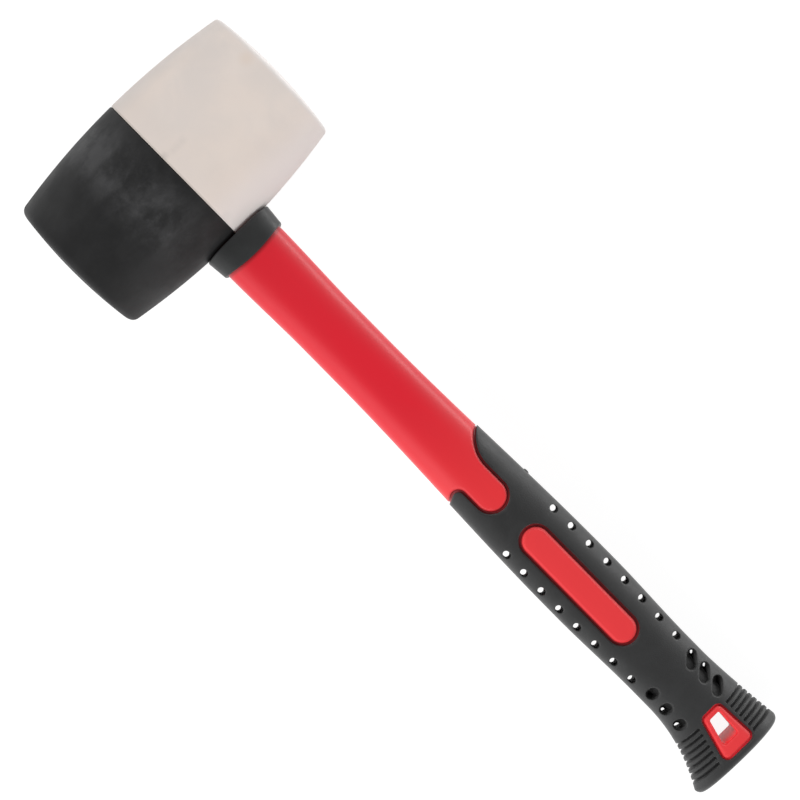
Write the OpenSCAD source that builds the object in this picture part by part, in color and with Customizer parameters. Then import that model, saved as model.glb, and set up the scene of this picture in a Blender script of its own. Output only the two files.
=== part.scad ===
// Two-colour rubber mallet with a moulded fibreglass handle, lying flat.
// X runs along the handle from the head to the butt, Y along the head from the black face to
// the white face, and Z up through the thickness of the handle. Sizes are millimetres.

/* [Head] */
// Length of the head over both domed faces
head_len = 103; // [92:1:120]
// Diameter of the barrel at its waist
waist_d = 64.8; // [60:0.2:72]
// How much smaller each striking face is than the waist, across the diameter
face_taper = 8.4; // [3:0.2:14]
// Height of the dome on each face
face_rise = 2.2; // [1:0.1:4]
// Edge radius of the black face
black_edge_r = 3.2; // [1.5:0.1:5]
// Edge radius of the white face
white_edge_r = 1.6; // [1:0.1:5]
// Edge radius of the black half where the two halves meet
black_seam_r = 0.8; // [0.3:0.1:1.5]
// Edge radius of the white half where the two halves meet
white_seam_r = 0.2; // [0.1:0.1:1.5]

/* [Eye] */
// Width of the tang inside the head
tang_w = 20; // [16:0.5:23]
// Thickness of the tang inside the head
tang_t = 9; // [8:0.5:10]
// Length of the tang above the collar's seat
tang_len = 52; // [38:1:54]
// Thickness of the adhesive round the tang
bond_t = 0.6; // [0.4:0.1:1]
// Diameter of the fibreglass rod
rod_d = 6.4; // [4:0.1:6.6]
// Gap left round the rod
rod_fit = 0.1; // [0.05:0.05:0.3]

/* [Collar] */
// Gap between the barrel and the collar's upper face, in the handle's middle plane
seat_gap = 0.2; // [0.1:0.1:0.6]
// Height of the collar at its sides
collar_h = 8.1; // [6:0.1:14]
// How much nearer the head the collar's front reaches than its sides
collar_rise = 0.3; // [0:0.1:1]
// How much lower the collar's front reaches than its sides
collar_bow = 1.8; // [0:0.1:3]
// Width of the collar at the head
collar_top_w = 29.8; // [28.6:0.1:36]
// Thickness of the collar at the head
collar_top_t = 19.2; // [18.8:0.1:24]
// Width of the collar at its lower edge
collar_low_w = 28.2; // [27.8:0.1:34]
// Thickness of the collar at its lower edge
collar_low_t = 18.6; // [18.4:0.1:24]
// Squareness of the collar's section: 2 is an ellipse, larger is squarer
collar_power = 3; // [2.6:0.1:4]
// Edge radius of the collar
collar_r = 0.6; // [0.3:0.1:1]
// Gap between the collar and the shaft
collar_fit = 0.1; // [0.05:0.05:0.2]

/* [Shaft] */
// Width of the shaft under the collar
neck_w = 25.8; // [23:0.1:26.6]
// Thickness of the shaft under the collar
neck_t = 16.6; // [14:0.1:17]
// Width of the shaft at its narrowest
waist_w = 24.3; // [22:0.1:28]
// Thickness of the shaft at its narrowest
waist_t = 17.2; // [15:0.1:20]
// Start of the narrowest stretch, from the head's centre
waist_from = 80; // [60:1:90]
// End of the narrowest stretch, from the head's centre
waist_to = 98; // [92:1:130]

/* [Grip] */
// How far the grip stands above the red jacket
grip_proud = 0.4; // [0.2:0.1:0.8]
// Width of the jacket at the belly of the grip
belly_w = 29.2; // [27:0.1:34]
// Thickness of the jacket at the belly of the grip
belly_t = 20.4; // [18:0.1:25]
// Start of the belly, from the head's centre
belly_from = 205; // [195:1:208]
// End of the belly, from the head's centre
belly_to = 212; // [209:1:225]
// Width of the jacket at the heel, above the flare
heel_w = 27.4; // [26:0.1:30]
// Thickness of the jacket at the heel
heel_t = 19.4; // [17:0.1:23]
// Place of the heel, from the head's centre
heel_at = 250; // [238:1:254]
// Squareness of the handle's section: 2 is an ellipse, larger is squarer
section_power = 2.5; // [2:0.1:3.2]
// Place of the small moulding nib on the white side's edge, from the head's centre
nib_at = 166.6; // [160:0.1:174]
// Length of the nib along the handle
nib_len = 2.4; // [1.2:0.1:3]
// Height of the nib
nib_h = 0.5; // [0.2:0.1:0.8]

/* [Grip edge] */
// Half width of the tongue of red that runs down into the grip
tongue_r = 6.2; // [4:0.1:6.8]
// Place of the tongue's round end, from the head's centre
tongue_end = 169.5; // [162:0.5:174]
// Offset of the tongue and the pads towards the black face
pad_shift = 0.9; // [0:0.1:1.2]
// Top of the grip's short lobe on the black side, from the head's centre
lobe_top = 154; // [148:0.2:158]
// Radius of the short lobe
lobe_r = 2.2; // [1.5:0.1:3]
// How far the lobe's outer end lies below its top
lobe_drop = 3.1; // [0:0.1:4]
// Radius of the long horn on the white side
horn_r = 14; // [10:0.5:18]
// Place where the horn leaves the tongue, from the head's centre
horn_from = 154.6; // [150:0.2:158]

/* [Window pad] */
// Upper end of the red window pad, from the head's centre
pad_from = 180.8; // [177:0.2:190]
// Lower end of the red window pad, from the head's centre
pad_to = 236; // [215:0.2:242]
// Half width of the red window pad
pad_r = 5.6; // [4:0.1:6.6]
// Width of the groove round the tongue, the pad and the frame
groove_w = 0.7; // [0.3:0.1:0.9]
// Depth of that groove
groove_t = 1.1; // [0.6:0.1:1.6]

/* [Core under the grip] */
// Half width of the jacket under the grip
core_half_w = 8.4; // [7.5:0.1:8.8]
// Thickness of the soft grip over the jacket's faces
core_cover = 2.2; // [1.8:0.1:3]

/* [Perforations] */
// Number of holes in each row
hole_count = 8; // [3:1:8]
// Place of the first hole, from the head's centre
hole_from = 182.8; // [178:0.1:186]
// Spacing of the holes
hole_pitch = 9.05; // [6:0.05:9.4]
// Width of a hole
hole_w = 2.4; // [1.6:0.1:3]
// Length of a hole along the handle
hole_len = 3.2; // [3.1:0.1:4.5]
// Distance from the edge of the grip to the middle of a row
hole_edge = 2.9; // [2.6:0.1:3.2]

/* [Slanted pockets] */
// Number of pockets on each side
pocket_count = 3; // [1:1:3]
// Place of the white side's first pocket, from the head's centre
pocket_from = 255.9; // [254:0.1:257]
// Spacing of the white side's pockets
pocket_pitch = 6.6; // [5.6:0.1:6.8]
// Width of the white side's pockets
pocket_w = 3.2; // [2:0.1:3.4]
// Length of the white side's pockets
pocket_len = 7.2; // [5:0.1:7.6]
// Slant of the white side's pockets to the handle, in degrees
pocket_slant = 48; // [35:1:60]
// Distance from the handle's axis to the middle of the white side's pockets
pocket_y = 9; // [8.6:0.1:9.4]
// Place of the black side's first pocket, from the head's centre
short_pocket_from = 254.9; // [253.6:0.1:256]
// Spacing of the black side's pockets
short_pocket_pitch = 7.4; // [5.6:0.1:7.4]
// Width of the black side's pockets
short_pocket_w = 3.6; // [2.4:0.1:3.8]
// Length of the black side's pockets
short_pocket_len = 4.2; // [3.9:0.1:4.6]
// Slant of the black side's pockets to the handle, in degrees
short_pocket_slant = 75; // [60:1:90]
// Distance from the handle's axis to the middle of the black side's first pocket
short_pocket_y = 9.5; // [9.2:0.1:10]
// How much further out each next pocket of the black side lies
short_pocket_step = 0.4; // [0:0.1:0.6]
// Cover left between a pocket's floor and the jacket
pocket_floor = 1.3; // [0.4:0.1:1.5]

/* [Butt] */
// Where the butt begins to flare, from the head's centre
flare_from = 258; // [255:1:264]
// Widest place of the butt, from the head's centre
lip_at = 291.4; // [290.8:0.1:292]
// End of the handle, from the head's centre
handle_end = 293.9; // [293:0.1:298]
// Half width of the butt's lip on the black side
butt_black_w = 22.8; // [17:0.1:26]
// Half width of the butt's lip on the white side
butt_white_w = 16.4; // [15:0.1:22]
// Thickness of the jacket's outline at the lip
butt_t = 22.4; // [20:0.1:27]
// Bow of the butt's end face
butt_bow = 0.3; // [0:0.1:2.5]
// Squareness of the section at the butt's lip: 2 is an ellipse, larger is squarer
butt_power = 2; // [2:0.1:2.8]
// Number of grooves between the ribs
rib_count = 7; // [3:1:7]
// Place of the first groove, from the head's centre
rib_from = 275.5; // [275:0.1:278]
// Spacing of the grooves
rib_pitch = 2.25; // [1.6:0.05:2.3]
// Width of a groove
rib_gap = 1.2; // [0.5:0.05:1.3]
// Depth of a groove
rib_depth = 1.3; // [0.3:0.05:1.4]
// Inner end of the first groove on the black side, from the axis
rib_black_in = 6.4; // [6:0.1:9]
// Extra distance of the last groove's inner end on the black side
rib_black_grow = 3.4; // [2:0.1:5]
// Inner end of the grooves on the white side, from the axis
rib_white_in = 7; // [6.9:0.1:10]

/* [Hang hole] */
// Upper edge of the red frame, from the head's centre
frame_from = 273.6; // [272.8:0.1:274.2]
// Distance from the groove below the frame to the butt's widest place
frame_gap = 0.5; // [0.2:0.1:1]
// Upper edge of the hole, from the head's centre
hang_from = 275.6; // [275.2:0.1:277]
// Lower edge of the hole, from the head's centre
hang_to = 285.7; // [284:0.1:287]
// Width of the hole at its upper edge
hang_top_w = 4.9; // [4:0.1:5.2]
// Width of the hole at its lower edge
hang_low_w = 6.6; // [5:0.1:7.5]
// Width of the red frame at its upper edge
frame_top_w = 8.5; // [7.6:0.1:9]
// Width of the red frame at its lower edge
frame_low_w = 12.7; // [10:0.1:13]
// Offset of the upper edges towards the white face
hang_top_y = 0.6; // [0:0.1:1]
// Offset of the lower edges towards the black face
hang_low_y = 0.8; // [0:0.1:1]
// Corner radius of the hole
hang_r = 0.8; // [0.5:0.1:1.5]
// Corner radius of the frame
frame_r = 1.8; // [0.8:0.1:2.2]

/* [Hidden] */

// Points round one section of the handle, round its core and round a small hole or nib
ring_points = 32;
core_points = 24;
hole_sides = 12;
// Steps of a rounded edge, of the barrel's bow, of its rim and face, and of its joint edge
round_steps = 4;
bow_steps = 18;
rim_steps = 8;
joint_steps = 5;
// Angle between the joint edge and the first point of the barrel's bow
joint_gap_a = 0.4;
// Points round the barrel and round the eye's ends
barrel_sides = 128;
eye_sides = 48;
// Straight cuts reach this far past what they cut
reach = 60;
// Squareness of the jacket's section under the grip
core_power = 3.2;
// How sharply each side of the butt flares: larger starts later
black_flare = 2.1;
white_flare = 1.5;
// Radius of the butt's rounded end
butt_round = handle_end - lip_at;

head_r = waist_d / 2;
half_len = head_len / 2;
rim_y = half_len - face_rise;
face_d = waist_d - face_taper;
barrel_drop = face_taper / 2;
barrel_r = (rim_y * rim_y + barrel_drop * barrel_drop) / (2 * barrel_drop);
face_r = (face_d * face_d / 4 + face_rise * face_rise) / (2 * face_rise);
collar_seat = head_r + seat_gap;
collar_end = collar_seat + collar_h;
eye_w = tang_w + 2 * bond_t;
eye_t = tang_t + 2 * bond_t;
tang_top = collar_seat - tang_len;
eye_top = tang_top - bond_t;
// The bond stops where the eye's narrow sides come out of the barrel
bond_stop = sqrt(head_r * head_r - eye_t * eye_t / 4);
rod_end = hang_from - rod_d;
frame_to = lip_at - frame_gap - groove_w;
core_from = lobe_top - horn_r;
core_end = (frame_to + handle_end) / 2;
tongue_y = -pad_shift;

function clamp01(t) = max(0, min(1, t));
function ease(t) = let (k = clamp01(t)) k * k * (3 - 2 * k);
function blend(x, x0, v0, x1, v1) = v0 + (v1 - v0) * ease((x - x0) / (x1 - x0));
function spread(x0, x1, steps) = [for (i = [0 : steps]) x0 + (x1 - x0) * i / steps];
function signed_power(c, p) = sign(c) * pow(abs(c), p);
function flare(x, p) = pow(clamp01((x - flare_from) / (lip_at - flare_from)), p);

// Width and thickness of the jacket along the handle, before the butt flares
function along(x, neck, waist, belly, heel) =
    x < waist_to ? blend(x, collar_end, neck, waist_from, waist)
    : x < belly_to ? blend(x, waist_to, waist, belly_from, belly)
    : blend(x, belly_to, belly, heel_at, heel);
function half_w(x) = along(x, neck_w, waist_w, belly_w, heel_w) / 2;
function black_half(x) = half_w(x) + (butt_black_w - heel_w / 2) * flare(x, black_flare);
function white_half(x) = half_w(x) + (butt_white_w - heel_w / 2) * flare(x, white_flare);
function half_t(x) =
    along(x, neck_t, waist_t, belly_t, heel_t) / 2 + (butt_t - heel_t) / 2 * flare(x, white_flare);
function power_at(x) = blend(x, heel_at, section_power, lip_at, butt_power);
// The butt's end face bows outwards, more and more towards the end
function bowed(x, y) = -butt_bow * flare(x, 1) * pow(y / butt_black_w, 2);

// A closed section with its own half width to each side
function section(x, black, white, thick, power, count) = [
    for (i = [0 : count - 1])
        let (a = 360 * i / count)
        let (c = signed_power(cos(a), 2 / power))
        let (y = c > 0 ? white * c : black * c)
        [x + bowed(x, y), y, thick * signed_power(sin(a), 2 / power)]
];
// The handle's section at x, moved outwards by grow
function handle_ring(x, grow) =
    let (black = black_half(x) + grow)
    let (white = white_half(x) + grow)
    section(x, black, white, half_t(x) + grow, power_at(x), ring_points);
function handle_rings(xs, grow) = [for (x = xs) handle_ring(x, grow)];
// The rounded end of the butt
function butt_rings(grow) = [
    for (i = [1 : round_steps])
        let (a = 90 * i / round_steps)
        let (ring = handle_ring(lip_at, grow - butt_round * (1 - cos(a))))
        [for (p = ring) [p[0] + butt_round * sin(a), p[1], p[2]]]
];
function core_rings(grow) = [
    for (x = spread(core_from, core_end, 7))
        let (wide = core_half_w + grow)
        let (thick = half_t(x) - core_cover + grow)
        section(x, wide, wide, thick, core_power, core_points)
];
// One section of the collar, drawn in by an edge radius: share is 0 at the head, where its front
// rises, and 1 at the lower edge, where its front bows downwards
function collar_ring(x, in, share) =
    let (t = (x - collar_seat) / collar_h)
    let (wide = collar_top_w + (collar_low_w - collar_top_w) * t - 2 * in)
    let (thick = collar_top_t + (collar_low_t - collar_top_t) * t - 2 * in)
    [for (p = section(x, wide / 2, wide / 2, thick / 2, collar_power, ring_points))
        let (bow = share * collar_bow * (1 - pow(2 * p[1] / wide, 2)))
        let (rise = (1 - share) * collar_rise * pow(2 * p[2] / thick, 2))
        [p[0] + bow - rise, p[1], p[2]]];
function collar_rings() = concat(
    [for (i = [0 : round_steps])
        let (a = 90 * i / round_steps)
        collar_ring(collar_seat + collar_r * (1 - cos(a)), collar_r * (1 - sin(a)), 0)],
    [for (i = [0 : round_steps])
        let (a = 90 * i / round_steps)
        collar_ring(collar_end - collar_r * (1 - sin(a)), collar_r * (1 - cos(a)), 1)]
);

shaft_xs = spread(collar_seat, tongue_end + tongue_r, 11);
butt_xs = spread(flare_from, lip_at, 6);
grip_xs = concat(spread(lobe_top - horn_r, belly_from, 5), spread(belly_to, heel_at, 3), butt_xs);

// Moves the part so that its box rests on the ground, centred
module placed() {
    translate([-(handle_end - head_r) / 2, 0, head_r]) children();
}

// A smooth body through a row of sections
module skin(rings) {
    for (i = [0 : len(rings) - 2])
        hull() ring_pair(concat(rings[i], rings[i + 1]));
}

module ring_pair(points) {
    polyhedron(points, [for (k = [0 : len(points) - 3]) [k, k + 1, k + 2]]);
}

// A flat outline in X and Y, carried through the whole thickness of the handle
module through() {
    translate([0, 0, -reach / 2]) linear_extrude(reach) children();
}

// Half of the barrel's outline, on X as the radius and Y as the distance from the seam
function barrel_outline(edge_r, joint_r) =
    let (joint_at = [head_r - joint_r, joint_r])
    let (reach_b = barrel_r - edge_r)
    let (reach_f = face_r - edge_r)
    let (barrel_c = [head_r - barrel_r, 0])
    let (face_c = [0, half_len - face_r])
    let (d = norm(face_c - barrel_c))
    let (along_d = (reach_b * reach_b - reach_f * reach_f + d * d) / (2 * d))
    let (unit = (face_c - barrel_c) / d)
    let (off = sqrt(reach_b * reach_b - along_d * along_d))
    let (edge_c = barrel_c + along_d * unit + off * [-unit[1], unit[0]])
    let (from_a = atan2(edge_c[1] - barrel_c[1], edge_c[0] - barrel_c[0]))
    let (to_a = atan2(edge_c[1] - face_c[1], edge_c[0] - face_c[0]))
    let (start_a = asin(joint_r / barrel_r))
    concat(
        [[0, 0]],
        [for (a = spread(-90, 0, joint_steps)) joint_at + joint_r * [cos(a), sin(a)]],
        [for (a = spread(start_a + joint_gap_a, from_a, bow_steps))
            barrel_c + barrel_r * [cos(a), sin(a)]],
        [for (a = spread(from_a, to_a, rim_steps)) edge_c + edge_r * [cos(a), sin(a)]],
        [for (a = spread(to_a, 90, rim_steps)) face_c + face_r * [cos(a), sin(a)]]
    );

// One half of the head as a turned body, with its half of the eye
module head_half(edge_r, joint_r, side) {
    placed() difference() {
        rotate([-90 * side, 0, 0]) rotate_extrude($fn = barrel_sides)
            polygon(barrel_outline(edge_r, joint_r));
        eye(eye_w, eye_t, eye_top, reach);
    }
}

// A flat oval bar along X, from one place to another
module eye(wide, thick, from, to) {
    translate([from, 0, 0]) rotate([90, 0, 90]) linear_extrude(to - from) union() {
        square([wide - thick, thick], center = true);
        for (side = [-1, 1])
            translate([side * (wide - thick) / 2, 0]) circle(d = thick, $fn = eye_sides);
    }
}

// The outline of the red tongue, wider by grow
module tongue(grow) {
    hull() {
        translate([tongue_end - tongue_r, tongue_y]) circle(tongue_r + grow, $fn = 32);
        translate([lobe_top - 2 * horn_r, tongue_y]) circle(tongue_r + grow, $fn = 32);
    }
}

// The outline of the window pad, wider by grow
module window(grow) {
    hull() for (x = [pad_from + pad_r, pad_to - pad_r])
        translate([x, tongue_y]) circle(pad_r + grow, $fn = 32);
}

// A four-sided outline with round corners, wider by grow, that leans as the hang hole does
module leaning_outline(from, to, top_w, low_w, corner_r, grow) {
    hull() for (side = [-1, 1]) {
        translate([from + corner_r, hang_top_y + side * (top_w / 2 - corner_r)])
            circle(corner_r + grow, $fn = 24);
        translate([to - corner_r, -hang_low_y + side * (low_w / 2 - corner_r)])
            circle(corner_r + grow, $fn = 24);
    }
}

module hang_hole() {
    through() leaning_outline(hang_from, hang_to, hang_top_w, hang_low_w, hang_r, 0);
}

module frame_outline(grow) {
    leaning_outline(frame_from, frame_to, frame_top_w, frame_low_w, frame_r, grow);
}

// Where the grip covers the jacket, seen from the front, wider by grow
module grip_area(grow) {
    difference() {
        offset(r = grow) union() {
            translate([lobe_top + lobe_r + lobe_drop, -reach]) square([handle_end, 2 * reach]);
            translate([horn_from, tongue_y + tongue_r + groove_w]) square(reach);
            translate([horn_from, tongue_y + tongue_r + groove_w + horn_r])
                circle(horn_r, $fn = 64);
            hull() {
                translate([lobe_top + lobe_r, tongue_y - tongue_r - groove_w - lobe_r])
                    circle(lobe_r, $fn = 24);
                translate([lobe_top + lobe_r + lobe_drop, -half_w(lobe_top) - lobe_r])
                    circle(lobe_r, $fn = 24);
            }
        }
        tongue(groove_w - grow);
    }
}

module black_head_half() {
    color([0.18, 0.18, 0.18]) head_half(black_edge_r, black_seam_r, -1);
}

module white_head_half() {
    color([0.86, 0.82, 0.79]) head_half(white_edge_r, white_seam_r, 1);
}

module eye_adhesive() {
    color([0.75, 0.66, 0.45]) placed() difference() {
        eye(eye_w, eye_t, eye_top, bond_stop);
        eye(tang_w, tang_t, tang_top, reach);
    }
}

module neck_collar() {
    color([0.2, 0.21, 0.22]) placed() difference() {
        skin(collar_rings());
        skin(handle_rings(spread(collar_seat - collar_h, collar_end + collar_h, 3), collar_fit));
    }
}

module rod(d, from, to) {
    translate([from, 0, 0]) rotate([0, 90, 0]) cylinder(d = d, h = to - from, $fn = 32);
}

// The tang's end in the eye
module tang() {
    hull() for (side = [-1, 1])
        translate([tang_top, side * (tang_w - tang_t) / 2, 0]) rotate([0, 90, 0])
            cylinder(d = tang_t, h = tang_len + collar_h, $fn = 32);
}

module handle_jacket() {
    color([0.85, 0.16, 0.2]) placed() difference() {
        union() {
            tang();
            skin(core_rings(0));
            intersection() {
                skin(handle_rings(shaft_xs, 0));
                through() difference() {
                    square(6 * reach, center = true);
                    grip_area(groove_w);
                }
            }
            intersection() {
                skin(handle_rings(shaft_xs, -groove_t));
                through() difference() {
                    square(6 * reach, center = true);
                    grip_area(0);
                }
            }
            intersection() {
                skin(concat(handle_rings(grip_xs, -groove_t), butt_rings(-groove_t)));
                through() {
                    window(groove_w);
                    frame_outline(groove_w);
                }
            }
            intersection() {
                skin(concat(handle_rings(grip_xs, grip_proud), butt_rings(grip_proud)));
                through() {
                    window(0);
                    frame_outline(0);
                }
            }
        }
        rod(rod_d + 2 * rod_fit, tang_top - reach, rod_end);
        hang_hole();
    }
}

module fibreglass_core() {
    color([0.8, 0.78, 0.62]) placed() rod(rod_d, tang_top, rod_end);
}

// Two rows of oval holes that go right through the grip's soft sides
module perforations() {
    for (i = [0 : hole_count - 1], side = [-1, 1])
        let (x = hole_from + i * hole_pitch)
        translate([x, side * (half_w(x) + grip_proud - hole_edge), 0])
            through() hull() for (end = [-1, 1])
                translate([end * (hole_len - hole_w) / 2, 0]) circle(d = hole_w, $fn = hole_sides);
}

// A long and a short oval, both slanted so that the outer end lies nearer the head
module long_pocket() {
    rotate(-pocket_slant) hull() for (end = [-1, 1])
        translate([end * (pocket_len - pocket_w) / 2, 0]) circle(d = pocket_w, $fn = hole_sides);
}

module short_pocket() {
    rotate(short_pocket_slant) hull() for (end = [-1, 1])
        translate([end * (short_pocket_len - short_pocket_w) / 2, 0])
            circle(d = short_pocket_w, $fn = hole_sides);
}

// Pockets that go through beside the jacket and stop on a floor above it
module pockets() {
    difference() {
        for (i = [0 : pocket_count - 1]) {
            translate([pocket_from + i * pocket_pitch, pocket_y]) through() long_pocket();
            translate([short_pocket_from + i * short_pocket_pitch, -short_pocket_y - i * short_pocket_step])
                through() short_pocket();
        }
        skin(core_rings(pocket_floor));
    }
}

// The nib left on the edge by the mould
module nib() {
    translate([nib_at, half_w(nib_at) + grip_proud, 0]) scale([nib_len / 2, nib_h, nib_len / 2])
        sphere(1, $fn = hole_sides);
}

// Grooves that run round both sides of the butt
module rib_grooves() {
    difference() {
        for (i = [0 : rib_count - 1])
            let (x = rib_from + i * rib_pitch - rib_gap / 2)
            let (black_in = rib_black_in + rib_black_grow * i / (rib_count - 1)) {
                translate([x, -reach, -reach / 2]) cube([rib_gap, reach - black_in, reach]);
                translate([x, rib_white_in, -reach / 2]) cube([rib_gap, reach, reach]);
            }
        skin(handle_rings(concat(butt_xs, [handle_end]), grip_proud - rib_depth));
    }
}

module grip_sleeve() {
    color([0.22, 0.22, 0.23]) placed() difference() {
        union() {
            nib();
            intersection() {
                skin(concat(handle_rings(grip_xs, grip_proud), butt_rings(grip_proud)));
                through() difference() {
                    grip_area(0);
                    window(groove_w);
                    frame_outline(groove_w);
                }
            }
        }
        skin(core_rings(0));
        perforations();
        pockets();
        rib_grooves();
    }
}

black_head_half();
white_head_half();
eye_adhesive();
neck_collar();
handle_jacket();
fibreglass_core();
grip_sleeve();
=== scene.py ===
"""Dresses the packed mallet: a two-colour rubber head, a collar, a red jacket and a perforated soft grip."""

import math

import bmesh
import bpy
from bpy.props import FloatProperty, FloatVectorProperty, IntProperty, PointerProperty
from bpy.types import Operator, Panel, PropertyGroup
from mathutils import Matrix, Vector


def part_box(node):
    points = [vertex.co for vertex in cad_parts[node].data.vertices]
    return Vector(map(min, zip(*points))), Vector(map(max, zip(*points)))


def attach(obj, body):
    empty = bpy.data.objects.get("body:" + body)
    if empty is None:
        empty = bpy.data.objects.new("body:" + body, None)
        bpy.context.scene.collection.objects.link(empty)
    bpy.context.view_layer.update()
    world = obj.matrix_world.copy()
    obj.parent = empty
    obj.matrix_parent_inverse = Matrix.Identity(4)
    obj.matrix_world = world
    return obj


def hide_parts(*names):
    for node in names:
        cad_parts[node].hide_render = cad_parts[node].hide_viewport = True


bl_info = {
    "name": "Two-colour mallet",
    "version": (1, 0, 0),
    "blender": (4, 5, 0),
    "location": "View3D > Sidebar > Mallet",
    "description": "Models a soft-faced mallet and its studio over a packed frame",
    "category": "Object",
}

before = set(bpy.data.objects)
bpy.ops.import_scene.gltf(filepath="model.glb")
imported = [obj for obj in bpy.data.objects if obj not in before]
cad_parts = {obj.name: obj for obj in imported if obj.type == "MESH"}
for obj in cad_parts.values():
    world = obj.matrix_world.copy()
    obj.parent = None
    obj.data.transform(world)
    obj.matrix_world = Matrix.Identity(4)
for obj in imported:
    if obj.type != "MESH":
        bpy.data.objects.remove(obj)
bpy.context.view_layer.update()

MM = 0.001
# The head's centre in the part's frame: every x below is measured from it
HEAD_LOW, HEAD_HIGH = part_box("black_head_half")
HEAD_X = HEAD_LOW.x + (HEAD_HIGH.z - HEAD_LOW.z) / 2
AXIS_Z = (HEAD_LOW.z + HEAD_HIGH.z) / 2
# Cutters reach this far past the handle, and stay at least this thick where it has none
REACH = 30 * MM
THIN = 0.02 * MM
# Spacing of the rings that draw the ribs
RIB_STEP = 0.16 * MM
# Depth of the surfaces' fine grain, and of the bond's bubbles
GRAIN = 0.2 * MM
BUBBLES = 0.3 * MM
# How far in, as a share of the way to the axis, a face counts wholly as a wall
WALL_DEPTH = 0.12
# Width of the camera's sensor, in millimetres
SENSOR = 36


# Settings

def length(name, description, millimetres):
    return FloatProperty(
        name=name, description=description, default=millimetres * MM, precision=4, unit="LENGTH"
    )


def colour(name, description, red, green, blue):
    return FloatVectorProperty(
        name=name, description=description, default=(red, green, blue), subtype="COLOR", min=0, max=1
    )


def factor(name, description, value):
    return FloatProperty(
        name=name, description=description, default=value, min=0, max=1, subtype="FACTOR"
    )


def watts(name, description, value):
    return FloatProperty(name=name, description=description, default=value, unit="POWER")


class HeadSizes(PropertyGroup):
    """Sizes of the barrel head."""

    head_len: length("Length", "Length over both domed faces", 103)
    waist_d: length("Waist", "Diameter of the barrel at its waist", 64.8)
    face_taper: length("Taper", "How much smaller each face is than the waist", 8.4)
    face_rise: length("Dome", "Height of the dome on each face", 2.2)
    black_edge_r: length("Black edge", "Edge radius of the black face", 3.2)
    white_edge_r: length("White edge", "Edge radius of the white face", 1.6)
    black_seam_r: length("Black joint edge", "Edge radius of the black half at the joint", 0.8)
    white_seam_r: length("White joint edge", "Edge radius of the white half at the joint", 0.25)
    eye_w: length("Eye width", "Width of the eye that takes the tang and its bond", 21.2)
    eye_t: length("Eye thickness", "Thickness of the eye", 10.2)
    eye_top: length("Eye depth", "How far past the centre the eye goes", 20)


class HandleSizes(PropertyGroup):
    """Sizes of the collar, the jacket and the grip's outside."""

    seat_gap: length("Seat gap", "Gap between the barrel and the collar", 0.2)
    collar_h: length("Collar height", "Height of the collar at its sides", 8.1)
    collar_rise: length("Collar rise", "How much nearer the head its front reaches than its sides", 0.3)
    collar_bow: length("Collar bow", "How much lower the collar's front reaches than its sides", 1.8)
    collar_top_w: length("Collar top width", "Width of the collar at the head", 29.8)
    collar_top_t: length("Collar top thickness", "Thickness of the collar at the head", 19.2)
    collar_low_w: length("Collar low width", "Width of the collar at its lower edge", 28.2)
    collar_low_t: length("Collar low thickness", "Thickness of the collar at its lower edge", 18.6)
    collar_r: length("Collar edge", "Edge radius of the collar", 0.5)
    collar_fit: length("Collar fit", "Gap between the collar and the shaft", 0.1)
    tang_w: length("Tang width", "Width of the tang in the head", 20)
    tang_t: length("Tang thickness", "Thickness of the tang in the head", 9)
    tang_len: length("Tang length", "Length of the tang above the collar's seat", 52)
    bore_d: length("Bore", "Diameter of the bore for the rod", 6.6)
    neck_w: length("Neck width", "Width of the shaft under the collar", 25.8)
    neck_t: length("Neck thickness", "Thickness of the shaft under the collar", 16.6)
    waist_w: length("Waist width", "Width of the shaft at its narrowest", 24.3)
    waist_t: length("Waist thickness", "Thickness of the shaft at its narrowest", 17.2)
    waist_from: length("Waist start", "Start of the narrowest stretch", 80)
    waist_to: length("Waist end", "End of the narrowest stretch", 98)
    belly_w: length("Belly width", "Width of the jacket's outline at the belly", 29.2)
    belly_t: length("Belly thickness", "Thickness of the jacket's outline at the belly", 20.4)
    belly_from: length("Belly start", "Start of the belly", 205)
    belly_to: length("Belly end", "End of the belly", 212)
    heel_w: length("Heel width", "Width of the jacket's outline at the heel", 27.4)
    heel_t: length("Heel thickness", "Thickness of the jacket's outline at the heel", 19.4)
    heel_at: length("Heel place", "Place of the heel", 250)
    flare_from: length("Flare start", "Where the butt begins to flare", 258)
    lip_at: length("Lip place", "Widest place of the butt", 291.4)
    handle_end: length("End", "End of the handle", 293.9)
    butt_black_w: length("Lip, black side", "Half width of the lip on the black side", 22.8)
    butt_white_w: length("Lip, white side", "Half width of the lip on the white side", 16.4)
    butt_t: length("Lip thickness", "Thickness of the jacket's outline at the lip", 22.4)
    butt_bow: length("End bow", "Bow of the butt's end face", -0.3)
    end_crown: length("End crown", "How far the middle of the end face stands out", 0.5)
    grip_proud: length("Proud", "How far the grip stands above the jacket", 0.4)
    core_half_w: length("Core half width", "Half width of the jacket under the grip", 8.4)
    core_cover: length("Cover", "Thickness of the grip over the jacket's faces", 2.2)
    section_power: FloatProperty(
        name="Squareness", description="Squareness of the handle's section, 2 is an ellipse", default=2.5
    )
    butt_power: FloatProperty(
        name="Butt squareness", description="Squareness of the section at the butt's lip", default=2
    )
    collar_power: FloatProperty(
        name="Collar squareness", description="Squareness of the collar's section", default=3
    )
    core_power: FloatProperty(
        name="Core squareness", description="Squareness of the jacket under the grip", default=3.2
    )
    black_flare: FloatProperty(
        name="Black flare", description="How late the butt flares on the black side", default=2.1
    )
    white_flare: FloatProperty(
        name="White flare", description="The same for the white side and the thickness", default=1.5
    )


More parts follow.
